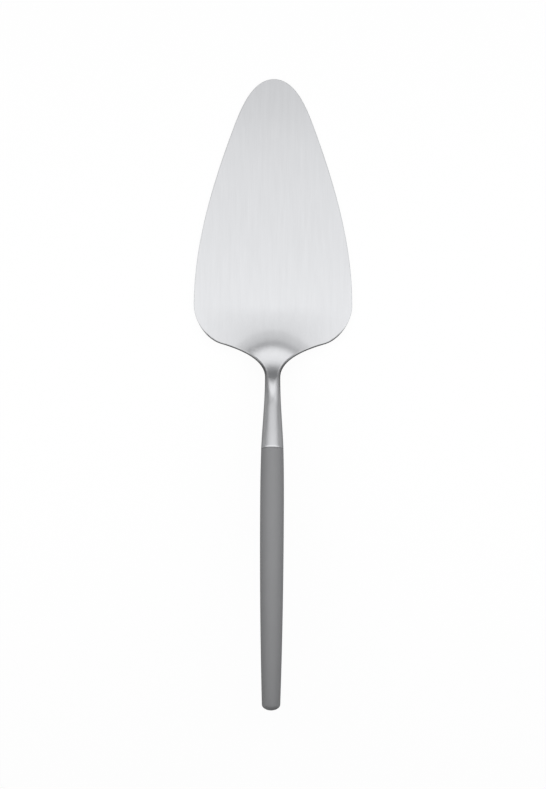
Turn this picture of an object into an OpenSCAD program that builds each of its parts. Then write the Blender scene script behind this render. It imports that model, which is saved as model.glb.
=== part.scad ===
// Cake server: a brushed steel blade with a cranked neck, a steel tang rod set in the neck,
// and a slim moulded resin handle glued over the tang.
// X is the width, +Y points to the blade's tip, +Z is up. The blade lies flat on Z = 0,
// and the origin is below the middle of the overall length.

/* [Blade] */
// Width of the blade at its widest
blade_w = 65.4; // [56:0.2:76]
// Distance from the tip to the widest place
widest_at = 93.4; // [86:0.2:98]
// Width where the round nose runs out into the flanks
flank_w = 35.4; // [32:0.2:40]
// Distance from the tip to that place
flank_at = 23; // [20:0.2:26]
// Flare of the flanks there, in degrees from the length
flank_flare = 20; // [15:0.5:25]
// Width at the middle of the sloping shoulders
shoulder_w = 42.8; // [40:0.2:48]
// Distance from the tip to the middle of the shoulders
shoulder_at = 109.4; // [106:0.2:112]
// Slope of the shoulders, in degrees from the length
shoulder_turn = 73.5; // [68:0.5:80]
// Thickness of the blade at the tip
tip_t = 1.3; // [1:0.05:1.8]
// Thickness of the blade at the heel
heel_t = 1.9; // [1.5:0.05:2.5]
// Width of the rounding along the blade's edge
edge_w = 0.15; // [0.1:0.05:0.4]
// Share of that rounding that is left as an upright edge
edge_upright = 0.5; // [0.3:0.05:0.7]
// Width of the bevel along the heel's edge, as a share of the half thickness there
bevel_share = 0.5; // [0.3:0.05:0.8]
// Distance past the heel where the edge begins to widen into that bevel
bevel_from = 7; // [5:0.2:11]
// Distance past the heel where the bevel is full
bevel_to = 18.4; // [16:0.2:22]

/* [Neck] */
// Width of the neck at its narrowest
waist_w = 6.3; // [5:0.1:8]
// Distance from the tip to the narrowest place
waist_at = 123.2; // [120:0.2:127]
// Diameter of the joint between neck and handle
joint_d = 9.2; // [8.4:0.1:9.6]
// Flare of the neck at the joint, in degrees from the length
neck_flare = 2.5; // [1:0.25:4]
// Distance from the tip to the joint
head_len = 152.8; // [148:0.2:160]
// Distance from the tip to the heel, where the blade begins to rise
heel_at = 93.2; // [89:0.2:97]
// Height of the gentle rise that leads into the fold
lift_h = 2.4; // [1.6:0.1:3]
// Length of that rise
lift_len = 26.8; // [22:0.2:30]
// Distance from the middle line where that rise has faded out
lift_w = 43.6; // [38:0.2:52]
// Distance past the heel where the fold begins
fold_at = 9.7; // [7:0.1:12]
// Bend radius of the fold
heel_r = 34.6; // [30:0.2:40]
// Bend radius of the crest above it
crest_r = 38; // [33:1:44]
// Steepest slope of the crank, in degrees
crank_angle = 35.4; // [30:0.2:38]
// Slope of the neck at the joint, in degrees
rise_angle = 13.5; // [10:0.5:16]
// How far the heel's fold leans back from square to the length, in degrees
heel_sweep = 44; // [35:1:50]
// Roundness of that fold on the middle line
heel_nose = 14; // [10:0.5:18]
// Distance past the heel where the bevelled section begins to turn round
neck_from = 25.4; // [22:0.2:29]
// Distance past the heel where the neck is fully round
neck_to = 39.4; // [35:0.2:45]

/* [Handle] */
// Length of the handle
handle_len = 107.2; // [90:0.2:125]
// Diameter of the handle at its fullest
handle_d = 9.8; // [9.6:0.1:11]
// Distance from the joint to the fullest place
fullest_at = 25; // [18:1:40]
// Diameter at the end, before it is rounded over
handle_end_d = 7.6; // [6.5:0.1:9]
// Taper of the handle towards its end, in degrees from the length
end_taper = 1.75; // [1:0.25:3]
// Length of the rounded end
end_dome = 2.5; // [1.5:0.1:3.5]
// Flare of the handle at the joint, in degrees from the length
mouth_flare = 1.75; // [0.5:0.25:2.5]
// How far the end droops below the straight line of the neck
handle_droop = 18.7; // [14:0.1:22]
// Break of the handle's edge at the joint
mouth_break = 0.15; // [0.05:0.05:0.4]

/* [Tang and glue] */
// Diameter of the tang rod
tang_d = 3.6; // [3:0.1:4]
// Depth that the tang sits in the neck
tang_in_neck = 14; // [8:0.5:16]
// Length of tang inside the handle
tang_in_handle = 30; // [24:1:34]
// Gap that braze fills round the tang in the neck
braze_gap = 0.03; // [0.02:0.01:0.06]
// Gap that glue fills round the tang in the handle
glue_gap = 0.4; // [0.25:0.05:0.5]
// Room for glue past the end of the tang
glue_end = 1.5; // [0.5:0.25:3]
// Number of glue grooves round the tang
groove_count = 4; // [2:1:5]
// Width of a glue groove
groove_w = 1.6; // [1:0.1:2]
// Depth of a glue groove
groove_depth = 0.35; // [0.2:0.05:0.5]

/* [Hidden] */

steel = [0.86, 0.87, 0.88];
rod_steel = [0.70, 0.71, 0.73];
resin = [0.54, 0.54, 0.55];
glue = [0.86, 0.82, 0.66];

// A bore or rod with this many sides is taken as truly round.
$fn = 64;
// Points on a quarter of the head's rings, and on a whole ring of the handle
quarter = 10;
handle_sides = 36;
// How strongly the points of a ring gather towards its edge
gather = 2.5;
// Steps in each span of an outline, and in the rounded end of the handle
span_steps = 12;
dome_steps = 6;
// A span's two leads are each this share of its length.
lead = 1 / 3;
// A cut runs this far past the face that it opens.
past = 1;
// Power of a section's edge curve: 1 is a straight bevel, 2 is an ellipse
bevel_power = 1.3;
neck_power = 2;
// Upright share of the round neck, only so wide that the two sides of a ring don't meet in one point
neck_upright = 0.01;

overall_len = head_len + handle_len;
tip_y = overall_len / 2;
joint_r = joint_d / 2;
tip_half_t = tip_t / 2;
heel_half_t = heel_t / 2;
bore_r = tang_d / 2 + glue_gap;
bore_depth = tang_in_handle + glue_end;
groove_pitch = tang_in_handle / (groove_count + 1);

// Distances along the head past the heel, and the heights reached there
neck_run = head_len - heel_at;
heel_run = fold_at + heel_r * sin(crank_angle);
crest_peak = heel_run + crest_r * sin(crank_angle);
crest_end = crest_peak - crest_r * sin(rise_angle);
heel_rise = heel_r * (1 - cos(crank_angle));
crest_rise = crest_r * (cos(rise_angle) - cos(crank_angle));
// End slope that brings the thickness of the neck into line with its flare
growth_end = tan(neck_flare) * neck_run / (joint_r - heel_half_t);

// Blends and curves
function mix(a, b, t) = a + (b - a) * t;
function clamp(t) = min(1, max(0, t));
function smooth(t) = t * t * (3 - 2 * t);
function grow(t, end_slope) = t * t * (3 - end_slope - (2 - end_slope) * t);
function heading(angle) = [sin(angle), cos(angle)];
function bezier(p, t) =
    (1 - t) ^ 3 * p[0] + 3 * (1 - t) ^ 2 * t * p[1] + 3 * (1 - t) * t ^ 2 * p[2] + t ^ 3 * p[3];
function bezier_run(p, t) =
    (1 - t) ^ 2 * (p[1] - p[0]) + 2 * (1 - t) * t * (p[2] - p[1]) + t ^ 2 * (p[3] - p[2]);

// A knot is [half width, distance, heading]. A span runs smoothly from one knot to the next.
function place(knot) = [knot[0], knot[1]];
function reach(a, b) = lead * norm(place(b) - place(a));
function span(a, b) = [
    place(a),
    place(a) + reach(a, b) * heading(a[2]),
    place(b) - reach(a, b) * heading(b[2]),
    place(b)
];
// Stations along a row of knots: each is [half width, distance, sideways share of the edge's normal].
function stations(knots) = [
    for (i = [0 : len(knots) - 2])
        let (p = span(knots[i], knots[i + 1]))
            for (step = [1 : span_steps])
                let (t = step / span_steps, at = bezier(p, t), run = bezier_run(p, t))
                    [at[0], at[1], run[1] / norm(run)]
];

// Half of the head's outline, from the tip to the joint
head_knots = [
    [0, 0, 90],
    [flank_w / 2, flank_at, flank_flare],
    [blade_w / 2, widest_at, 0],
    [shoulder_w / 2, shoulder_at, -shoulder_turn],
    [waist_w / 2, waist_at, 0],
    [joint_r, head_len, neck_flare]
];
// Half of the handle's outline, from the joint to its rounded end
handle_knots = [
    [joint_r, mouth_break, mouth_flare],
    [handle_d / 2, fullest_at, 0],
    [handle_end_d / 2, handle_len - end_dome, -end_taper]
];

// Slope and height of the fold and the crest on the middle line, at a distance past the heel
function head_slope(u) =
    u <= fold_at ? 0
    : u <= heel_run ? asin((u - fold_at) / heel_r)
    : u <= crest_end ? asin((crest_peak - u) / crest_r)
    : rise_angle;
function head_height(u) =
    u <= fold_at ? 0
    : u <= heel_run ? heel_r * (1 - cos(head_slope(u)))
    : u <= crest_end ? heel_rise + crest_r * (cos(head_slope(u)) - cos(crank_angle))
    : heel_rise + crest_rise + (u - crest_end) * tan(rise_angle);

// Height of the gentle rise that leads into the fold, which fades towards the blade's sides
function heel_lift(x, s) =
    lift_h * smooth(clamp(s / lift_len)) * (1 - smooth(clamp((abs(x) - joint_r) / (lift_w - joint_r))));

// Half thickness of the head: the blade thickens to the heel, and the neck fills out to the joint.
function half_t(u) =
    u <= 0 ? mix(tip_half_t, heel_half_t, (heel_at + u) / heel_at)
    : heel_half_t + (joint_r - heel_half_t) * grow(u / neck_run, growth_end);

// The fold at the heel lies further back at the sides than in the middle, until the neck is round.
function fold_back(x, s) =
    (norm([x * tan(heel_sweep), heel_nose]) - heel_nose)
    * (1 - smooth(clamp((s - heel_run) / (crest_end - heel_run))));

// How far the edge has widened into the bevel, and how far the section has turned round
function bevelled(s) = smooth(clamp((s - bevel_from) / (bevel_to - bevel_from)));
function rounded(s) = smooth(clamp((s - neck_from) / (neck_to - neck_from)));
// Thickness share at a distance from the edge: full on the flat, rounded off towards the edge
function edge_share(edge, width, upright, power) =
    (1 - (1 - mix(upright, 1, clamp(edge / width))) ^ power) ^ (1 / power);

// The rings stand upright along the blade and lean square to the neck at the joint.
function ring_lean(s) = rise_angle * smooth(clamp((s - heel_run) / (crest_end - heel_run)));

// One point of the head at a station: across is -1 to 1 over the width, side is 1 on top and -1 below.
function head_point(station, across, side) =
    let (
        half_w = station[0],
        s = station[1] - heel_at,
        x = half_w * sign(across) * (1 - (1 - abs(across)) ^ gather),
        u = s - fold_back(x, s),
        rounding = mix(edge_w, mix(bevel_share * half_t(u), half_w, rounded(s)), bevelled(s)),
        upright = mix(edge_upright, neck_upright, rounded(s)),
        power = mix(bevel_power, neck_power, rounded(s)),
        share = edge_share((half_w - abs(x)) * station[2], rounding, upright, power),
        lean = ring_lean(s),
        t = side * share * half_t(u) / cos(head_slope(u) - lean),
        middle = min(half_t(u), heel_half_t) + heel_lift(x, s) + head_height(u)
    )
    [x, tip_y - station[1] + t * sin(lean), middle + t * cos(lean)];
function head_ring(station) = [
    for (side = [1, -1])
        for (j = [0 : 2 * quarter])
            head_point(station, side * (1 - j / quarter), side)
];

// The joint's centre, in the middle of the neck's end face
joint_y = tip_y - head_len;
joint_z = heel_half_t + lift_h + head_height(neck_run);

// Height and slope of the handle's middle line, at a distance from the joint
function handle_height(l) = joint_z + l * tan(rise_angle) - handle_droop * (l / handle_len) ^ 2;
function handle_slope(l) = atan(tan(rise_angle) - 2 * handle_droop * l / handle_len ^ 2);
function handle_ring(r, l) = [
    for (k = [0 : handle_sides - 1])
        let (turn = 360 * k / handle_sides, lift = r * cos(turn), slope = handle_slope(l))
            [r * sin(turn), joint_y - l + lift * sin(slope), handle_height(l) + lift * cos(slope)]
];
handle_rings = concat(
    [handle_ring(joint_r - mouth_break, 0), handle_ring(joint_r, mouth_break)],
    [for (st = stations(handle_knots)) handle_ring(st[0], st[1])],
    [
        for (step = [1 : dome_steps - 1])
            let (turn = 90 * step / dome_steps)
                handle_ring(handle_end_d / 2 * cos(turn), handle_len - end_dome * (1 - sin(turn)))
    ]
);

function reversed(list) = [for (i = [len(list) - 1 : -1 : 0]) list[i]];

// A closed skin from a point over a row of rings to a flat end
module loft(point, rings) {
    n = len(rings[0]);
    last = len(rings) - 1;
    // Point 0 is the tip, and ring i starts at 1 + i * n.
    function at(i, k) = 1 + i * n + k % n;
    polyhedron(
        points = concat([point], [for (ring = rings) each ring]),
        faces = concat(
            [for (k = [0 : n - 1]) [0, at(0, k), at(0, k + 1)]],
            [for (i = [0 : last - 1]) for (k = [0 : n - 1]) [at(i, k), at(i + 1, k), at(i + 1, k + 1)]],
            [for (i = [0 : last - 1]) for (k = [0 : n - 1]) [at(i, k), at(i + 1, k + 1), at(i, k + 1)]],
            [[for (k = [n - 1 : -1 : 0]) at(last, k)]]
        )
    );
}

// Puts a child's +Z along the tang, from the joint's centre into the handle.
module along_tang() {
    translate([0, joint_y, joint_z])
        rotate([90 - rise_angle, 0, 0])
            children();
}

module tang_shape() {
    along_tang()
        difference() {
            translate([0, 0, -tang_in_neck])
                cylinder(d = tang_d, h = tang_in_neck + tang_in_handle);
            for (i = [1 : groove_count])
                translate([0, 0, i * groove_pitch - groove_w / 2])
                    difference() {
                        cylinder(d = tang_d + 2 * past, h = groove_w);
                        cylinder(d = tang_d - 2 * groove_depth, h = groove_w);
                    }
        }
}

module blade_and_neck() {
    color(steel)
        difference() {
            loft([0, tip_y, tip_half_t], [for (st = stations(head_knots)) head_ring(st)]);
            along_tang()
                translate([0, 0, -tang_in_neck])
                    cylinder(d = tang_d + 2 * braze_gap, h = tang_in_neck + past);
        }
}

module tang_rod() {
    color(rod_steel)
        tang_shape();
}

module handle_grip() {
    color(resin)
        difference() {
            loft([0, joint_y - handle_len, handle_height(handle_len)], reversed(handle_rings));
            along_tang()
                translate([0, 0, -past])
                    cylinder(r = bore_r, h = bore_depth + past);
        }
}

module glue_fill() {
    color(glue)
        difference() {
            along_tang()
                cylinder(r = bore_r, h = bore_depth);
            tang_shape();
        }
}

blade_and_neck();
tang_rod();
handle_grip();
glue_fill();
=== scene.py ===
"""Looks of the cake server: smooth skins for the steel head and the resin grip, finishes and a studio.

X is the width, +Y points to the blade's tip, +Z is up, and the blade lies flat on Z = 0.
Lengths are in metres.
"""

import math

import bpy
import numpy as np
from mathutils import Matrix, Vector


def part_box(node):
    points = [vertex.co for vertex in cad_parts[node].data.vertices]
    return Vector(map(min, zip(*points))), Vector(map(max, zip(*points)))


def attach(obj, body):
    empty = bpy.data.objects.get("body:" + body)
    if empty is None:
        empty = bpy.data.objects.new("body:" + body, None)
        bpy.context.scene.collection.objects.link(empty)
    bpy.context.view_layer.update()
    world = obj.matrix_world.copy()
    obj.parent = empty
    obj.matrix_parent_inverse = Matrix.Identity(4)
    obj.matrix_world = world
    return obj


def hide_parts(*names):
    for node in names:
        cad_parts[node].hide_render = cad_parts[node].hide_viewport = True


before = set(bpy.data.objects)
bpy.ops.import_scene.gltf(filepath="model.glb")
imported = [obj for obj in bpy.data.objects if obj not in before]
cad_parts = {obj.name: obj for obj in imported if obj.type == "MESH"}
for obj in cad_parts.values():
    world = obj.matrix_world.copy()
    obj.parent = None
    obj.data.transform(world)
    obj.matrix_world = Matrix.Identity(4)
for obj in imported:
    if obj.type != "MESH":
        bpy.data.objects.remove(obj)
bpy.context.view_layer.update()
MM = 0.001

# Places that the solids give
_, head_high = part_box("blade_and_neck")
grip_low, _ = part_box("handle_grip")
TIP_Y = head_high.y
HALF_BLADE = head_high.x
END_Y = grip_low.y

# Plan of the head: half widths, distances from the tip, and headings in degrees from the length
FLANK_HALF_W = 17.7 * MM
FLANK_AT = 23 * MM
FLANK_FLARE = 20
WIDEST_AT = 93.4 * MM
SHOULDER_HALF_W = 21.4 * MM
SHOULDER_AT = 109.4 * MM
SHOULDER_TURN = 73.5
WAIST_HALF_W = 3.15 * MM
WAIST_AT = 123.2 * MM
JOINT_R = 4.6 * MM
JOINT_AT = 152.8 * MM
NECK_FLARE = 2.5

# Side view of the head: a gentle rise at the heel, the swept fold, and the crest above it
HEEL_AT = 93.2 * MM
LIFT_H = 2.4 * MM
LIFT_LEN = 26.8 * MM
LIFT_W = 43.6 * MM
FOLD_AT = 9.7 * MM
HEEL_R = 34.6 * MM
CREST_R = 38 * MM
CRANK = math.radians(35.4)
RISE = math.radians(13.5)
HEEL_SWEEP = math.radians(44)
HEEL_NOSE = 14 * MM

# Section of the head: a thin upright edge, a bevel past the heel, and then the round neck
TIP_HALF_T = 0.65 * MM
HEEL_HALF_T = 0.95 * MM
EDGE_W = 0.15 * MM
EDGE_UPRIGHT = 0.5
BEVEL_FROM = 7 * MM
BEVEL_TO = 18.4 * MM
BEVEL_SHARE = 0.5
BEVEL_POWER = 1.3
NECK_FROM = 25.4 * MM
NECK_TO = 39.4 * MM
NECK_POWER = 2
NECK_UPRIGHT = 0.01
RIM_BREAK = 0.12 * MM

# Painted light on the head's edge, baked into the steel's colour: below 0 is a painted highlight along the
# flanks, above 0 is painted shade along the heel's edge and on the neck's sides
SHADE_FROM = 5.8 * MM
SHADE_TO = 13.8 * MM
SHADE_W = 0.65 * MM
FLANK_PAINTED_HIGHLIGHT = -0.5
HEEL_PAINTED_SHADE = 1
NECK_PAINTED_SHADE = 0.75
EDGE_FADE = 0.4
NECK_FADE = 3

# Grip
FULLEST_R = 4.9 * MM
FULLEST_AT = 25 * MM
END_R = 3.8 * MM
END_TAPER = 1.75
END_DOME = 2.5 * MM
MOUTH_FLARE = 1.75
MOUTH_BREAK = 0.15 * MM
DROOP = 18.7 * MM

# Fineness of the skins, how strongly a ring's points gather at the edge, and a span's leads
SPAN_STEPS = 44
QUARTER = 26
GATHER = 2.5
GRIP_SIDES = 96
DOME_STEPS = 16
LEAD = 1 / 3

# Runs, rises and slopes that follow
JOINT_Y = TIP_Y - JOINT_AT
GRIP_LEN = JOINT_Y - END_Y
NECK_RUN = JOINT_AT - HEEL_AT
HEEL_RUN = FOLD_AT + HEEL_R * math.sin(CRANK)
CREST_PEAK = HEEL_RUN + CREST_R * math.sin(CRANK)
CREST_END = CREST_PEAK - CREST_R * math.sin(RISE)
HEEL_RISE = HEEL_R * (1 - math.cos(CRANK))
CREST_RISE = CREST_R * (math.cos(RISE) - math.cos(CRANK))
GROWTH_END = math.tan(math.radians(NECK_FLARE)) * NECK_RUN / (JOINT_R - HEEL_HALF_T)
JOINT_Z = HEEL_HALF_T + LIFT_H + HEEL_RISE + CREST_RISE + (NECK_RUN - CREST_END) * math.tan(RISE)


# Curves

def mix(a, b, t):
    return a + (b - a) * t


def smooth(t):
    t = np.clip(t, 0, 1)
    return t * t * (3 - 2 * t)


def heading(degrees):
    angle = math.radians(degrees)
    return np.array((math.sin(angle), math.cos(angle)))


def span(a, b):
    """Control points of a smooth curve from one knot (half width, distance, heading) to the next."""
    start, end = np.array(a[:2]), np.array(b[:2])
    reach = LEAD * np.linalg.norm(end - start)
    return start, start + reach * heading(a[2]), end - reach * heading(b[2]), end


def stations(knots):
    """Rows of (half width, distance, sideways share of the edge's normal) along a row of knots."""
    rows = []
    for a, b in zip(knots, knots[1:]):
        p = span(a, b)
        for t in np.linspace(0, 1, SPAN_STEPS + 1)[1:]:
            s = 1 - t
            at = s**3 * p[0] + 3 * s * s * t * p[1] + 3 * s * t * t * p[2] + t**3 * p[3]
            run = s * s * (p[1] - p[0]) + 2 * s * t * (p[2] - p[1]) + t * t * (p[3] - p[2])
            rows.append((at[0], at[1], run[1] / np.linalg.norm(run)))
    return rows


HEAD_KNOTS = (
    (0, 0, 90),
    (FLANK_HALF_W, FLANK_AT, FLANK_FLARE),
    (HALF_BLADE, WIDEST_AT, 0),
    (SHOULDER_HALF_W, SHOULDER_AT, -SHOULDER_TURN),
    (WAIST_HALF_W, WAIST_AT, 0),
    (JOINT_R, JOINT_AT - RIM_BREAK, NECK_FLARE),
)
GRIP_KNOTS = (
    (JOINT_R, MOUTH_BREAK, MOUTH_FLARE),
    (FULLEST_R, FULLEST_AT, 0),
    (END_R, GRIP_LEN - END_DOME, -END_TAPER),
)


# Head: s is a distance past the heel, and u is the same distance measured from the swept fold

def head_slope(u):
    heel = np.arcsin(np.clip((u - FOLD_AT) / HEEL_R, 0, math.sin(CRANK)))
    crest = np.arcsin(np.clip((CREST_PEAK - u) / CREST_R, math.sin(RISE), math.sin(CRANK)))
    return np.where(u <= HEEL_RUN, heel, crest)


def head_height(u):
    slope = head_slope(u)
    heel = HEEL_R * (1 - np.cos(slope))
    crest = HEEL_RISE + CREST_R * (np.cos(slope) - math.cos(CRANK))
    straight = np.maximum(u - CREST_END, 0) * math.tan(RISE)
    return np.where(u <= HEEL_RUN, heel, crest + straight)


def heel_lift(x, s):
    """Height of the gentle rise that leads into the fold, which fades towards the blade's sides."""
    return LIFT_H * smooth(s / LIFT_LEN) * (1 - smooth((np.abs(x) - JOINT_R) / (LIFT_W - JOINT_R)))


def half_thickness(u):
    """The blade thickens to the heel, and the neck fills out to the joint."""
    blade = mix(TIP_HALF_T, HEEL_HALF_T, (HEEL_AT + u) / HEEL_AT)
    t = np.maximum(u, 0) / NECK_RUN
    growth = t * t * (3 - GROWTH_END - (2 - GROWTH_END) * t)
    return np.where(u <= 0, blade, mix(HEEL_HALF_T, JOINT_R, growth))


def past_fold(s):
    """0 up to the end of the fold, and 1 from the end of the crest."""
    return smooth((s - HEEL_RUN) / (CREST_END - HEEL_RUN))


def fold_back(x, s):
    """How far the fold lies behind its place on the middle line, which fades towards the neck."""
    bow = np.hypot(x * math.tan(HEEL_SWEEP), HEEL_NOSE) - HEEL_NOSE
    return bow * (1 - past_fold(s))


def edge_share(from_edge, rounding, upright, power):
    """Share of the thickness at a distance from the edge: full on the flat, less on the rounding."""
    rise = mix(upright, 1, np.clip(from_edge / rounding, 0, 1))
    return (1 - (1 - rise) ** power) ** (1 / power)


def painted_edge_light(s, from_edge, half_w, bevel_w, rounded):
    """Painted light at a distance from the edge: a painted highlight along the flanks, painted shade along
    the heel's edge and on the neck's sides.
    """
    shaded = smooth((s - SHADE_FROM) / (SHADE_TO - SHADE_FROM))
    width = mix(EDGE_W, mix(np.maximum(SHADE_W, bevel_w), half_w, rounded), shaded)
    nearness = (1 - np.clip(from_edge / width, 0, 1)) ** mix(EDGE_FADE, NECK_FADE, rounded)
    return mix(FLANK_PAINTED_HIGHLIGHT, mix(HEEL_PAINTED_SHADE, NECK_PAINTED_SHADE, rounded), shaded) * nearness


def head_ring(half_w, distance, sideways, inset=0):
    """One ring of the head, over the top and back below, with the painted highlight and shade value of
    each of its points.
    """
    across = np.linspace(1, -1, 2 * QUARTER + 1)
    across = np.concatenate((across, -across))
    side = np.repeat((1, -1), 2 * QUARTER + 1)
    x = half_w * np.sign(across) * (1 - (1 - np.abs(across)) ** GATHER)
    s = distance - HEEL_AT
    u = s - fold_back(x, s)
    half_t = half_thickness(u)
    bevel_w = BEVEL_SHARE * half_t
    bevelled = smooth((s - BEVEL_FROM) / (BEVEL_TO - BEVEL_FROM))
    rounded = smooth((s - NECK_FROM) / (NECK_TO - NECK_FROM))
    from_edge = (half_w - np.abs(x)) * sideways
    rounding = mix(EDGE_W, mix(bevel_w, half_w, rounded), bevelled)
    upright = mix(EDGE_UPRIGHT, NECK_UPRIGHT, rounded)
    power = mix(BEVEL_POWER, NECK_POWER, rounded)
    share = edge_share(from_edge, rounding, upright, power)
    lean = RISE * past_fold(s)
    t = side * share * (half_t - inset) / np.cos(head_slope(u) - lean)
    middle = np.minimum(half_t, HEEL_HALF_T) + heel_lift(x, s) + head_height(u)
    ring = np.stack((x, TIP_Y - distance + t * np.sin(lean), middle + t * np.cos(lean)), axis=1)
    return ring, painted_edge_light(s, from_edge, half_w, bevel_w, rounded)


# Grip, at distances from the joint

def grip_height(distance):
    return JOINT_Z + distance * math.tan(RISE) - DROOP * (distance / GRIP_LEN) ** 2


def grip_ring(radius, distance):
    """One ring of the grip, square to its drooping middle line."""
    turn = np.linspace(0, 2 * math.pi, GRIP_SIDES, endpoint=False)
    slope = math.atan(math.tan(RISE) - 2 * DROOP * distance / GRIP_LEN**2)
    lift = radius * np.cos(turn)
    y = JOINT_Y - distance + lift * math.sin(slope)
    z = grip_height(distance) + lift * math.cos(slope)
    return np.stack((radius * np.sin(turn), y, z), axis=1)


# Skins, with the names of the maps that the finishes read

GRAIN_MAP = "plan"
PAINTED_LIGHT_MAP = "edge"


def skin(name, tip, rings):
    """A closed smooth mesh from a tip over rings to a flat end, with its plan as the grain's map."""
    count = len(rings[0])
    points = np.vstack([np.array(tip)[None], *rings])
    faces = [(0, 1 + (k + 1) % count, 1 + k) for k in range(count)]
    for near in range(1, len(points) - count, count):
        far = near + count
        for k in range(count):
            beside = (k + 1) % count
            faces.append((near + k, near + beside, far + beside, far + k))
    faces.append(tuple(range(len(points) - count, len(points))))
    mesh = bpy.data.meshes.new(name)
    mesh.from_pydata(points.tolist(), [], faces)
    mesh.shade_smooth()
    mesh.polygons[-1].use_smooth = False
    plan = mesh.uv_layers.new(name=GRAIN_MAP)
    corners = np.array([loop.vertex_index for loop in mesh.loops])
    plan.data.foreach_set("uv", points[corners, :2].ravel())
    piece = bpy.data.objects.new(name, mesh)
    bpy.context.scene.collection.objects.link(piece)
    return piece


def steel_head():
    rows = [head_ring(*station) for station in stations(HEAD_KNOTS)]
    rows.append(head_ring(JOINT_R - RIM_BREAK, JOINT_AT, 1, inset=RIM_BREAK))
    rings, shades = zip(*rows)
    piece = skin("steel_head", (0, TIP_Y, TIP_HALF_T), rings)
    # Painted highlight and painted shade of the edge, stored on each point for the steel's colour
    shade = piece.data.attributes.new(PAINTED_LIGHT_MAP, "FLOAT", "POINT")
    shade.data.foreach_set("value", np.concatenate(((FLANK_PAINTED_HIGHLIGHT,), *shades)))
    return piece


def resin_grip():
    rings = [grip_ring(JOINT_R - MOUTH_BREAK, 0), grip_ring(JOINT_R, MOUTH_BREAK)]
    rings += [grip_ring(half_w, distance) for half_w, distance, _ in stations(GRIP_KNOTS)]
    for turn in np.linspace(0, math.pi / 2, DOME_STEPS, endpoint=False)[1:]:
        rings.append(grip_ring(END_R * math.cos(turn), GRIP_LEN - END_DOME * (1 - math.sin(turn))))
    return skin("resin_grip", (0, END_Y, grip_height(GRIP_LEN)), rings[::-1])


# Nodes

def feed(tree, socket, value):
    """Links a node's output to a socket, or sets the socket's own value."""
    if isinstance(value, bpy.types.NodeSocket):
        tree.links.new(value, socket)
    else:
        socket.default_value = value


def add(tree, kind, **inputs):
    """Adds a node with its named inputs, and gives its first output."""
    node = tree.nodes.new(kind)
    for name, value in inputs.items():
        feed(tree, node.inputs[name], value)
    return node.outputs[0]


def combine(tree, operation, a, b):
    node = tree.nodes.new("ShaderNodeMath")
    node.operation = operation
    feed(tree, node.inputs[0], a)
    feed(tree, node.inputs[1], b)
    return node.outputs[0]


def noise(tree, features, detail):
    """A pattern in object coordinates with so many features for each metre along X, Y and Z."""
    here = tree.nodes.new("ShaderNodeTexCoord").outputs["Object"]
    vector = add(tree, "ShaderNodeMapping", Vector=here, Scale=features)
    return add(tree, "ShaderNodeTexNoise", Vector=vector, Scale=1.0, Detail=detail)


def spread(tree, value, low, high, start=0, end=1):
    """A pattern from start to end moved to the range from low to high."""
    node = tree.nodes.new("ShaderNodeMapRange")
    for key, number in (("From Min", start), ("From Max", end), ("To Min", low), ("To Max", high)):
        node.inputs[key].default_value = number
    feed(tree, node.inputs["Value"], value)
    return node.outputs[0]


def tone(tree, value, dark, light):
    """A colour between two, by a 0 to 1 pattern."""
    node = tree.nodes.new("ShaderNodeMix")
    node.data_type = "RGBA"
    node.inputs["A"].default_value = (*dark, 1)
    node.inputs["B"].default_value = (*light, 1)
    feed(tree, node.inputs["Factor"], value)
    return node.outputs["Result"]


def finish(name, **inputs):
    """A material whose main shader has these inputs; gives the material, its tree and the shader."""
    material = bpy.data.materials.new(name)
    material.use_nodes = True
    shader = material.node_tree.nodes["Principled BSDF"]
    for key, value in inputs.items():
        shader.inputs[key.replace("_", " ")].default_value = value
    return material, material.node_tree, shader


BUMP_DEPTH = 0.01 * MM


def bump(tree, shader, height, strength):
    normal = add(tree, "ShaderNodeBump", Strength=strength, Distance=BUMP_DEPTH, Height=height)
    feed(tree, shader.inputs["Normal"], normal)


# Brushed steel: its patterns, and the ranges that they and the edge's painted light give

HAIRS = (6500, 90, 6500)
STROKES = (520, 45, 520)
CLOUDS = (38, 16, 38)
HAIR_SHARE = 0.5
BRUSHING = 0.85
BLACK = (0, 0, 0)
STEEL_WHITE = (1, 1.008, 1.028)
STEEL_GRAZING = (0.75, 0.75, 0.75, 1)
STEEL_POLISH = (0.44, 0.56)
STEEL_ROUGH = (0.28, 0.36)
CLOUD_ROUGH = (-0.02, 0.02)
PAINTED_LIGHT_TONE = -0.45
SHADE_ROUGH = -0.06
STEEL_BUMP = 0.25


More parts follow.
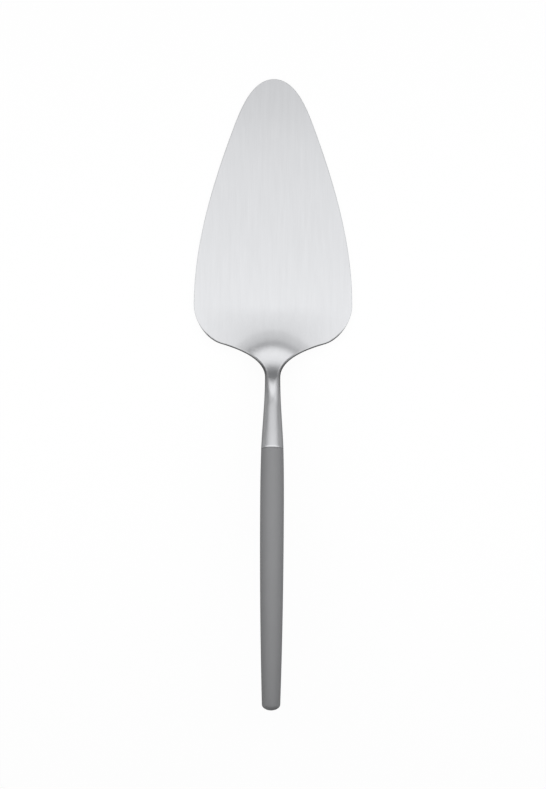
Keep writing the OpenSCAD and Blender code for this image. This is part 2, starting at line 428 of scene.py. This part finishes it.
def brushed_steel():
    """Satin steel brushed along its length, with a painted highlight along the flank edge and painted
    shade along the heel's edge and the neck's sides.
    """
    material, tree, shader = finish(
        "brushed_steel", Metallic=1.0, Anisotropic=BRUSHING, Specular_Tint=STEEL_GRAZING
    )
    hairs = noise(tree, HAIRS, detail=3.0)
    strokes = noise(tree, STROKES, detail=3.0)
    clouds = noise(tree, CLOUDS, detail=2.0)
    fine = spread(tree, hairs, 0, HAIR_SHARE)
    coarse = spread(tree, strokes, 0, 1 - HAIR_SHARE)
    grain = combine(tree, "ADD", fine, coarse)
    attribute = tree.nodes.new("ShaderNodeAttribute")
    attribute.attribute_name = PAINTED_LIGHT_MAP
    shade = attribute.outputs["Fac"]

    # The steel's colour: the brushed grain, plus the edge's painted highlight and painted shade
    grain_and_painted_light = spread(tree, grain, *STEEL_POLISH)
    grain_and_painted_light = combine(tree, "ADD", grain_and_painted_light, combine(tree, "MULTIPLY", shade, PAINTED_LIGHT_TONE))
    feed(tree, shader.inputs["Base Color"], tone(tree, grain_and_painted_light, BLACK, STEEL_WHITE))

    rough = spread(tree, strokes, *STEEL_ROUGH)
    rough = combine(tree, "ADD", rough, spread(tree, clouds, *CLOUD_ROUGH))
    rough = combine(tree, "ADD", rough, combine(tree, "MULTIPLY", shade, SHADE_ROUGH))
    feed(tree, shader.inputs["Roughness"], rough)

    tangent = tree.nodes.new("ShaderNodeTangent")
    tangent.direction_type = "UV_MAP"
    tangent.uv_map = GRAIN_MAP
    feed(tree, shader.inputs["Tangent"], tangent.outputs["Tangent"])
    bump(tree, shader, grain, STEEL_BUMP)
    return material


# Grey resin

MOTTLE = (160, 60, 160)
POWDER = (5200, 5200, 5200)
RESIN_IOR = 1.38
RESIN_DARK = (0.196, 0.197, 0.201)
RESIN_LIGHT = (0.216, 0.217, 0.221)
RESIN_ROUGH = (0.6, 0.68)
RESIN_BUMP = 0.2


def grey_resin():
    """Satin moulded resin: even grey with a faint mottle, and a skin as fine as powder."""
    material, tree, shader = finish("grey_resin", IOR=RESIN_IOR)
    mottle = noise(tree, MOTTLE, detail=4.0)
    powder = noise(tree, POWDER, detail=2.0)
    feed(tree, shader.inputs["Base Color"], tone(tree, mottle, RESIN_DARK, RESIN_LIGHT))
    feed(tree, shader.inputs["Roughness"], spread(tree, mottle, *RESIN_ROUGH))
    bump(tree, shader, powder, RESIN_BUMP)
    return material


# Turned rod

TURNING = (120, 7000, 120)
ROD_DARK = (0.32, 0.325, 0.33)
ROD_LIGHT = (0.42, 0.425, 0.43)
ROD_ROUGH = (0.35, 0.5)
ROD_BUMP = 0.3


def turned_rod():
    """Plain turned steel with fine rings round it."""
    material, tree, shader = finish("turned_rod", Metallic=1.0)
    rings = noise(tree, TURNING, detail=2.0)
    feed(tree, shader.inputs["Base Color"], tone(tree, rings, ROD_DARK, ROD_LIGHT))
    feed(tree, shader.inputs["Roughness"], spread(tree, rings, *ROD_ROUGH))
    bump(tree, shader, rings, ROD_BUMP)
    return material


# Cured glue

SWIRL = (400, 150, 400)
GLUE_IOR = 1.5
GLUE_DARK = (0.55, 0.46, 0.24)
GLUE_LIGHT = (0.68, 0.60, 0.36)
GLUE_ROUGH = (0.25, 0.4)


def cured_glue():
    """Amber cured glue with a slightly uneven colour."""
    material, tree, shader = finish("cured_glue", IOR=GLUE_IOR)
    swirl = noise(tree, SWIRL, detail=3.0)
    feed(tree, shader.inputs["Base Color"], tone(tree, swirl, GLUE_DARK, GLUE_LIGHT))
    feed(tree, shader.inputs["Roughness"], spread(tree, swirl, *GLUE_ROUGH))
    return material


def dress(piece, node, material):
    """A skin in its material, shown in place of a solid."""
    piece.data.materials.append(material)
    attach(piece, "root")
    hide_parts(node)


def redress(node, material):
    """A better material on a solid that stays."""
    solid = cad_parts[node]
    solid.data.materials.clear()
    solid.data.materials.append(material)


# Ground and sky

FLOOR_SIZE = 12.0
FLOOR_ROUGH = 0.9
FLOOR_PALE = (0.86, 0.86, 0.86)
FLOOR_BOUNCE = (0.15, 0.15, 0.15)
FLOOR_WHITE = 0.93
SKY = (0.3, 0.302, 0.307)
WALL = (0.65, 0.652, 0.655)
WALL_TOWARDS = (0, -1, 0)
WALL_FROM = 0.3
WALL_FULL = 0.8


def seen(tree):
    """1 for what the camera, mirrors and glass see, and 0 for light on matt surfaces."""
    path = tree.nodes.new("ShaderNodeLightPath").outputs
    mirrored = combine(tree, "ADD", path["Is Glossy Ray"], path["Is Transmission Ray"])
    return combine(tree, "ADD", path["Is Camera Ray"], mirrored)


def white_ground():
    """A pale floor that the camera, mirrors and glass see most of the way to white."""
    material, tree, shader = finish("white_ground", Roughness=FLOOR_ROUGH)
    shown = seen(tree)
    feed(tree, shader.inputs["Base Color"], tone(tree, shown, FLOOR_BOUNCE, FLOOR_PALE))
    blend = tree.nodes.new("ShaderNodeMixShader")
    feed(tree, blend.inputs["Fac"], spread(tree, shown, 0, FLOOR_WHITE))
    feed(tree, blend.inputs[1], shader.outputs[0])
    feed(tree, blend.inputs[2], add(tree, "ShaderNodeEmission", Strength=1.0))
    feed(tree, tree.nodes["Material Output"].inputs["Surface"], blend.outputs[0])
    return material


def floor():
    half = FLOOR_SIZE / 2
    corners = [(-half, -half, 0), (half, -half, 0), (half, half, 0), (-half, half, 0)]
    mesh = bpy.data.meshes.new("floor")
    mesh.from_pydata(corners, [], [(0, 1, 2, 3)])
    mesh.materials.append(white_ground())
    plane = bpy.data.objects.new("floor", mesh)
    bpy.context.scene.collection.objects.link(plane)


def sky():
    """A dim room, in which the camera, mirrors and glass see a pale wall behind the handle."""
    world = bpy.data.worlds.new("sky")
    world.use_nodes = True
    tree = world.node_tree
    facing = tree.nodes.new("ShaderNodeVectorMath")
    facing.operation = "DOT_PRODUCT"
    facing.inputs[1].default_value = WALL_TOWARDS
    feed(tree, facing.inputs[0], tree.nodes.new("ShaderNodeTexCoord").outputs["Generated"])
    behind = spread(tree, facing.outputs["Value"], 0, 1, start=WALL_FROM, end=WALL_FULL)
    wall = combine(tree, "MULTIPLY", behind, seen(tree))
    feed(tree, tree.nodes["Background"].inputs["Color"], tone(tree, wall, SKY, WALL))
    bpy.context.scene.world = world


# Lights

KEY_WIDTH = 1.2
KEY_X = 0.05
KEY_HEIGHT = 0.26
KEY_FROM_Y = -0.17
KEY_TO_Y = 0.233
KEY_RADIANCE = 0.9
CORE_HEIGHT = 0.25
CORE_FROM_Y = -0.15
CORE_TO_Y = 0.12
CORE_RADIANCE = 0.34
HEART_HEIGHT = 0.24
HEART_TO_Y = 0.06
HEART_RADIANCE = 0.15
STRIP_ZENITH = math.radians(56.9)
STRIP_DISTANCE = 0.8
STRIP_DEPTH = 0.27
STRIP_WIDTH = 1.6
STRIP_RADIANCE = 1.55
STRIP_X = 0.22


def panel(name, width, depth, radiance, centre, tilt):
    """A soft rectangular light that faces down, tilted about X."""
    lamp = bpy.data.lights.new(name, "AREA")
    lamp.shape = "RECTANGLE"
    lamp.size = width
    lamp.size_y = depth
    lamp.energy = radiance * math.pi * width * depth
    light = bpy.data.objects.new(name, lamp)
    light.location = centre
    light.rotation_euler = (tilt, 0, 0)
    light.visible_camera = False
    bpy.context.scene.collection.objects.link(light)


def overhead(name, height, from_y, to_y, radiance):
    panel(name, KEY_WIDTH, to_y - from_y, radiance, (KEY_X, (from_y + to_y) / 2, height), 0)


def lights():
    """A softbox overhead that brightens in two steps, and a strip past the tip that lights the crank."""
    overhead("key", KEY_HEIGHT, KEY_FROM_Y, KEY_TO_Y, KEY_RADIANCE)
    overhead("core", CORE_HEIGHT, CORE_FROM_Y, CORE_TO_Y, CORE_RADIANCE)
    overhead("heart", HEART_HEIGHT, CORE_FROM_Y, HEART_TO_Y, HEART_RADIANCE)
    away = STRIP_DISTANCE * math.sin(STRIP_ZENITH)
    above = STRIP_DISTANCE * math.cos(STRIP_ZENITH)
    panel("strip", STRIP_WIDTH, STRIP_DEPTH, STRIP_RADIANCE, (STRIP_X, away, above), -STRIP_ZENITH)


# Camera, high above and looking straight down

IMAGE_HEIGHT = 789
MM_PER_PIXEL = 0.4131
CAMERA_HEIGHT = 5.0
CAMERA_X = 0.18 * MM
CAMERA_Y = -0.24 * MM
CAMERA_ROLL = math.radians(0.28)


def camera():
    lens = bpy.data.cameras.new("camera")
    lens.sensor_fit = "VERTICAL"
    lens.lens = lens.sensor_height * CAMERA_HEIGHT / (IMAGE_HEIGHT * MM_PER_PIXEL * MM)
    eye = bpy.data.objects.new("camera", lens)
    eye.location = (CAMERA_X, CAMERA_Y, CAMERA_HEIGHT)
    eye.rotation_euler = (0, 0, CAMERA_ROLL)
    bpy.context.scene.collection.objects.link(eye)
    bpy.context.scene.camera = eye


dress(steel_head(), "blade_and_neck", brushed_steel())
dress(resin_grip(), "handle_grip", grey_resin())
redress("tang_rod", turned_rod())
redress("glue_fill", cured_glue())
floor()
sky()
lights()
camera()
bpy.context.scene.view_settings.view_transform = "Standard"
